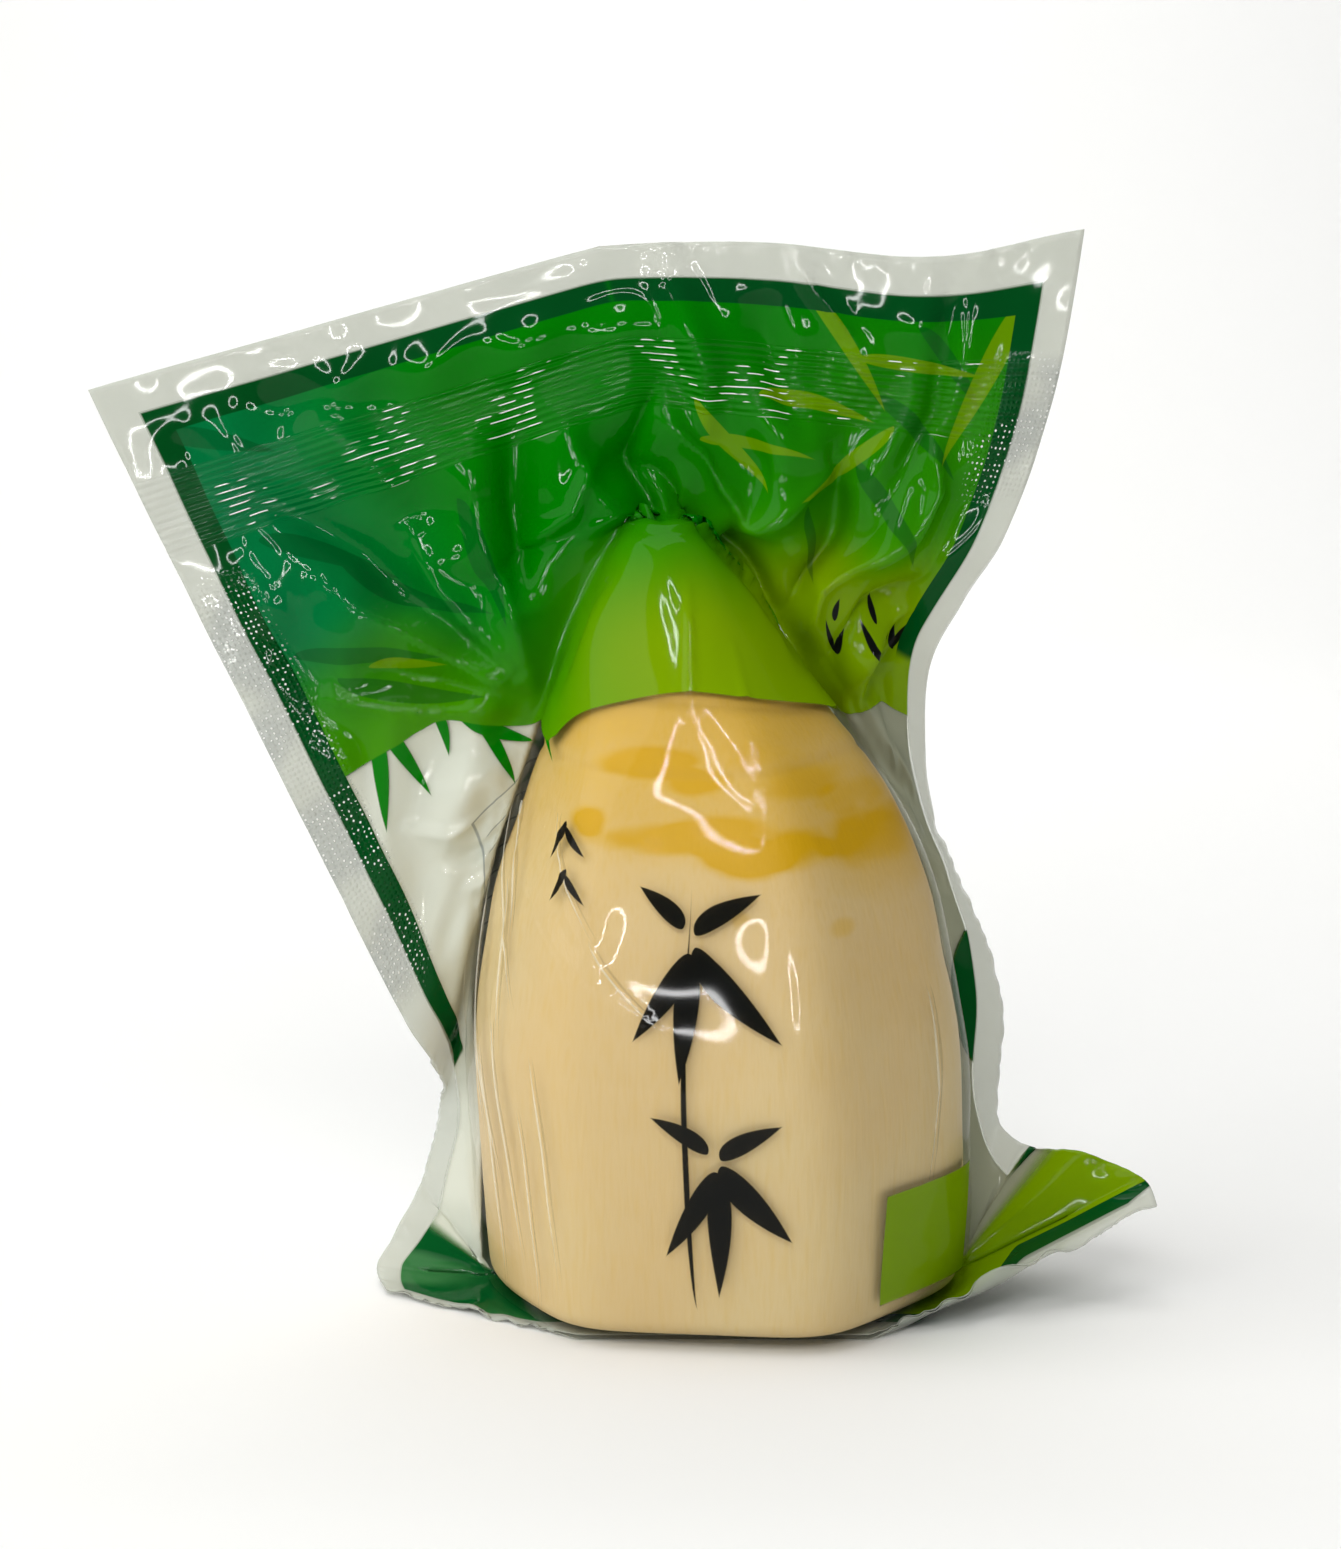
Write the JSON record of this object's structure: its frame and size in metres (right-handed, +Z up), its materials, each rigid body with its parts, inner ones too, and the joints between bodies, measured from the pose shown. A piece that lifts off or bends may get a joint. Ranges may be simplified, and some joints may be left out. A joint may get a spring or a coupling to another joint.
{
  "type": "vacuum-packed bamboo shoot",
  "caption": "Peeled winter bamboo shoot in a vacuum-sealed pouch of printed clear film, standing on its cut base, with a wide flap above the tip and a folded ear at each side.",
  "frame": {"origin": "on the surface the part stands on, under the shoot's axis", "axes": "+Z up along the shoot, +X to the right seen from the printed front, +Y towards the back web"},
  "size_m": [0.1859, 0.0847, 0.186],
  "materials": {
    "flesh": "moist, waxy, cream vegetable flesh with yellow patches and fine upright fibres",
    "printed_film": "glossy clear film with green ink at the top and bare clear film below",
    "white_film": "glossy film with white ink and a green border"
  },
  "bodies": {
    "root": {"shoot": "flesh", "front_film": "printed_film", "back_film": "white_film"}
  },
  "joints": []
}
